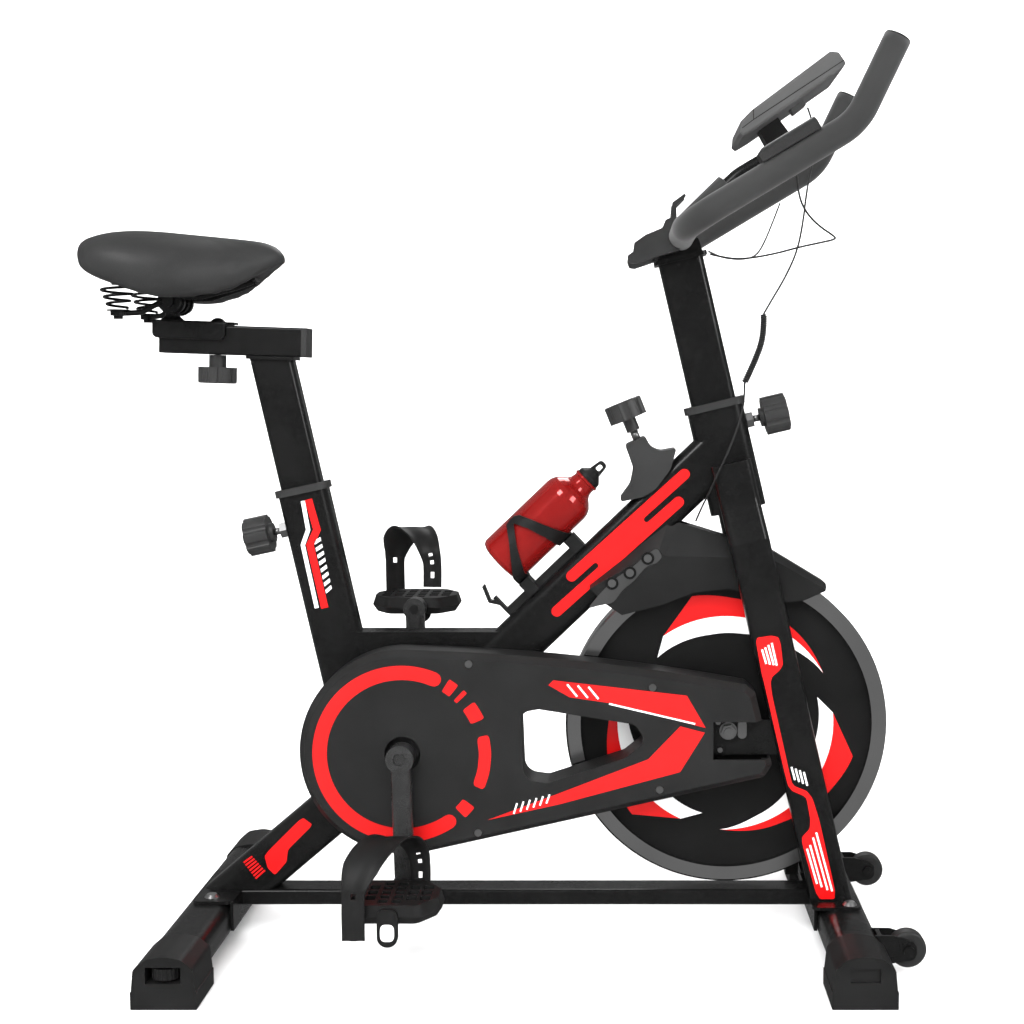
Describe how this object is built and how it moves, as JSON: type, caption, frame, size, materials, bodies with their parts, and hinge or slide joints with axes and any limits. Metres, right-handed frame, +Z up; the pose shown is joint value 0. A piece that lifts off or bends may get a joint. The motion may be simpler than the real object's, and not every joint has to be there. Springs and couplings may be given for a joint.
{
  "type": "indoor spin bike",
  "caption": "Indoor cycling trainer with belt-driven flywheel, adjustable sprung saddle, horned handlebar with display, brake knob, cage pedals and bottle.",
  "frame": {"origin": "on the floor under the middle of the overall length and width", "axes": "+X forwards from saddle to handlebar, +Y to the rider's left, +Z up"},
  "size_m": [1.014, 0.48, 1.0937],
  "materials": {
    "black_paint": "satin",
    "grey_plastic": "satin",
    "pale_plastic": "satin",
    "black_plastic": "satin",
    "guard_plastic": "satin",
    "belt_rubber": "matte",
    "bolt_steel": "zinc",
    "wheel_iron": "painted",
    "rim_chrome": "polished",
    "crank_steel": "dark",
    "pulley_plastic": "matte",
    "knob_plastic": "satin",
    "caster_plastic": "satin",
    "brake_felt": "felt",
    "saddle_skin": "grained",
    "grip_foam": "foam",
    "pad_metal": "satin",
    "console_shell": "satin",
    "button_plastic": "satin",
    "bottle_red": "metallic lacquer",
    "cable_rubber": "matte"
  },
  "bodies": {
    "frame": {"seat_tube": "black_paint", "top_tube": "black_paint", "down_tube": "black_paint", "rear_strut": "black_paint", "head_tube": "black_paint", "seat_tube_collar": "black_plastic", "head_tube_collar": "black_plastic", "fork_leg_right": "black_paint", "fork_leg_left": "black_paint", "base_rail": "black_paint", "rear_stabilizer": "black_paint", "front_stabilizer": "black_paint", "frame_fasteners": "bolt_steel", "rear_foot_right": "black_plastic", "rear_foot_left": "black_plastic", "front_foot_right": "black_plastic", "front_foot_left": "black_plastic", "guard_outer": "guard_plastic", "guard_inner": "guard_plastic", "drive_belt": "belt_rubber", "wheel_cover": "black_plastic", "brake_housing": "grey_plastic", "bottle_cage": "black_plastic", "flywheel_axle": "bolt_steel", "sensor_cable": "cable_rubber"},
    "flywheel_body": {"flywheel": "wheel_iron", "flywheel_rim": "rim_chrome"},
    "crankset": {"crank_axle": "bolt_steel", "drive_pulley": "pulley_plastic", "crank_right": "crank_steel", "crank_left": "crank_steel"},
    "right_pedal": {"pedal_right": "black_plastic", "strap_right": "black_plastic"},
    "left_pedal": {"pedal_left": "black_plastic", "strap_left": "black_plastic"},
    "right_transport_wheel": {"transport_wheel_right": "caster_plastic"},
    "left_transport_wheel": {"transport_wheel_left": "caster_plastic"},
    "seat_column": {"seat_post": "black_paint", "rail_end_plug": "pale_plastic"},
    "seat_carriage": {"seat_slider": "black_paint"},
    "carriage_knob": {"slider_knob": "knob_plastic"},
    "saddle": {"saddle_cushion": "saddle_skin", "saddle_frame": "black_paint", "saddle_springs": "bolt_steel"},
    "seat_pin": {"seat_post_knob": "knob_plastic"},
    "handlebar_pin": {"handlebar_post_knob": "knob_plastic"},
    "handlebar_column": {"handlebar_post": "black_paint", "handlebar": "grip_foam", "pulse_pads": "pad_metal", "head_cover": "grey_plastic", "console": "console_shell", "console_bracket": "black_paint", "pulse_wires": "cable_rubber"},
    "display_button": {"console_button": "button_plastic"},
    "brake_screw": {"brake_knob": "knob_plastic"},
    "brake_block": {"brake_shoe": "brake_felt"},
    "water_bottle": {"bottle": "bottle_red"},
    "bottle_lid": {"bottle_cap": "black_plastic"},
    "right_leveller": {"leveller_right": "knob_plastic"},
    "left_leveller": {"leveller_left": "knob_plastic"}
  },
  "joints": [
    {"name": "flywheel_spin", "type": "hinge", "parent": "frame", "child": "flywheel_body", "pos_m": [0.278, 0, 0.275], "axis": [0, 1, 0], "continuous": true},
    {"name": "crank_spin", "type": "hinge", "parent": "frame", "child": "crankset", "pos_m": [-0.122, 0, 0.25], "axis": [0, 1, 0], "continuous": true},
    {"name": "right_pedal_spin", "type": "hinge", "parent": "crankset", "child": "right_pedal", "pos_m": [-0.11792, -0.1, 0.09405], "axis": [0, 1, 0], "continuous": true},
    {"name": "left_pedal_spin", "type": "hinge", "parent": "crankset", "child": "left_pedal", "pos_m": [-0.12608, 0.1, 0.40595], "axis": [0, 1, 0], "continuous": true},
    {"name": "right_transport_wheel_spin", "type": "hinge", "parent": "frame", "child": "right_transport_wheel", "pos_m": [0.485, -0.1435, 0.035], "axis": [0, 1, 0], "continuous": true},
    {"name": "left_transport_wheel_spin", "type": "hinge", "parent": "frame", "child": "left_transport_wheel", "pos_m": [0.485, 0.1435, 0.035], "axis": [0, 1, 0], "continuous": true},
    {"name": "seat_height", "type": "slide", "parent": "frame", "child": "seat_column", "axis": [-0.213, 0, 0.977], "range_m": [-0.12, 0.06]},
    {"name": "seat_reach", "type": "slide", "parent": "seat_column", "child": "seat_carriage", "axis": [0.9995, 0, -0.0332], "range_m": [-0.045, 0.018]},
    {"name": "seat_reach_knob_turn", "type": "hinge", "parent": "seat_carriage", "child": "carriage_knob", "pos_m": [-0.35567, 0, 0.73387], "axis": [0.0332, 0, 0.9995], "range_deg": [0, 720]},
    {"name": "saddle_tilt", "type": "hinge", "parent": "seat_carriage", "child": "saddle", "pos_m": [-0.40593, 0, 0.80207], "axis": [0, 1, 0], "range_deg": [-8, 8]},
    {"name": "seat_pin_pull", "type": "slide", "parent": "frame", "child": "seat_pin", "axis": [-0.977, 0, -0.213], "range_m": [0, 0.008], "stiffness_N_per_m": 600, "springref_m": -0.002},
    {"name": "handlebar_height", "type": "slide", "parent": "frame", "child": "handlebar_column", "axis": [-0.2317, 0, 0.9728], "range_m": [-0.02, 0.06], "deforming": ["sensor_cable"]},
    {"name": "handlebar_pin_pull", "type": "slide", "parent": "frame", "child": "handlebar_pin", "axis": [0.9728, 0, 0.2317], "range_m": [0, 0.008], "stiffness_N_per_m": 600, "springref_m": -0.002},
    {"name": "display_button_press", "type": "slide", "parent": "handlebar_column", "child": "display_button", "axis": [0.5878, 0, -0.809], "range_m": [0, 0.0015], "stiffness_N_per_m": 500},
    {"name": "brake_knob_turn", "type": "hinge", "parent": "frame", "child": "brake_screw", "pos_m": [0.166, 0, 0.632], "axis": [0.3762, 0, -0.9265], "range_deg": [0, 720]},
    {"name": "brake_block_travel", "type": "slide", "parent": "frame", "child": "brake_block", "axis": [0.3762, 0, -0.9265], "range_m": [0, 0.003], "stiffness_N_per_m": 10, "springref_m": -0.0283},
    {"name": "bottle_lift", "type": "slide", "parent": "frame", "child": "water_bottle", "axis": [0.7221, 0, 0.6918], "range_m": [0, 0.025]},
    {"name": "bottle_lid_turn", "type": "hinge", "parent": "water_bottle", "child": "bottle_lid", "pos_m": [-0.00558, 0, 0.47807], "axis": [0.7221, 0, 0.6918], "range_deg": [0, 540]},
    {"name": "right_leveller_turn", "type": "hinge", "parent": "frame", "child": "right_leveller", "pos_m": [-0.37, -0.2222, 0.04], "axis": [0, 0, 1], "range_deg": [-720, 720]},
    {"name": "left_leveller_turn", "type": "hinge", "parent": "frame", "child": "left_leveller", "pos_m": [-0.37, 0.2222, 0.04], "axis": [0, 0, 1], "range_deg": [-720, 720]}
  ],
  "couplings": [
    {"joint": "crank_spin", "follows": "flywheel_spin", "ratio": 0.30769},
    {"joint": "brake_knob_turn", "follows": "brake_block_travel", "rad_per_m": 4188.8}
  ]
}
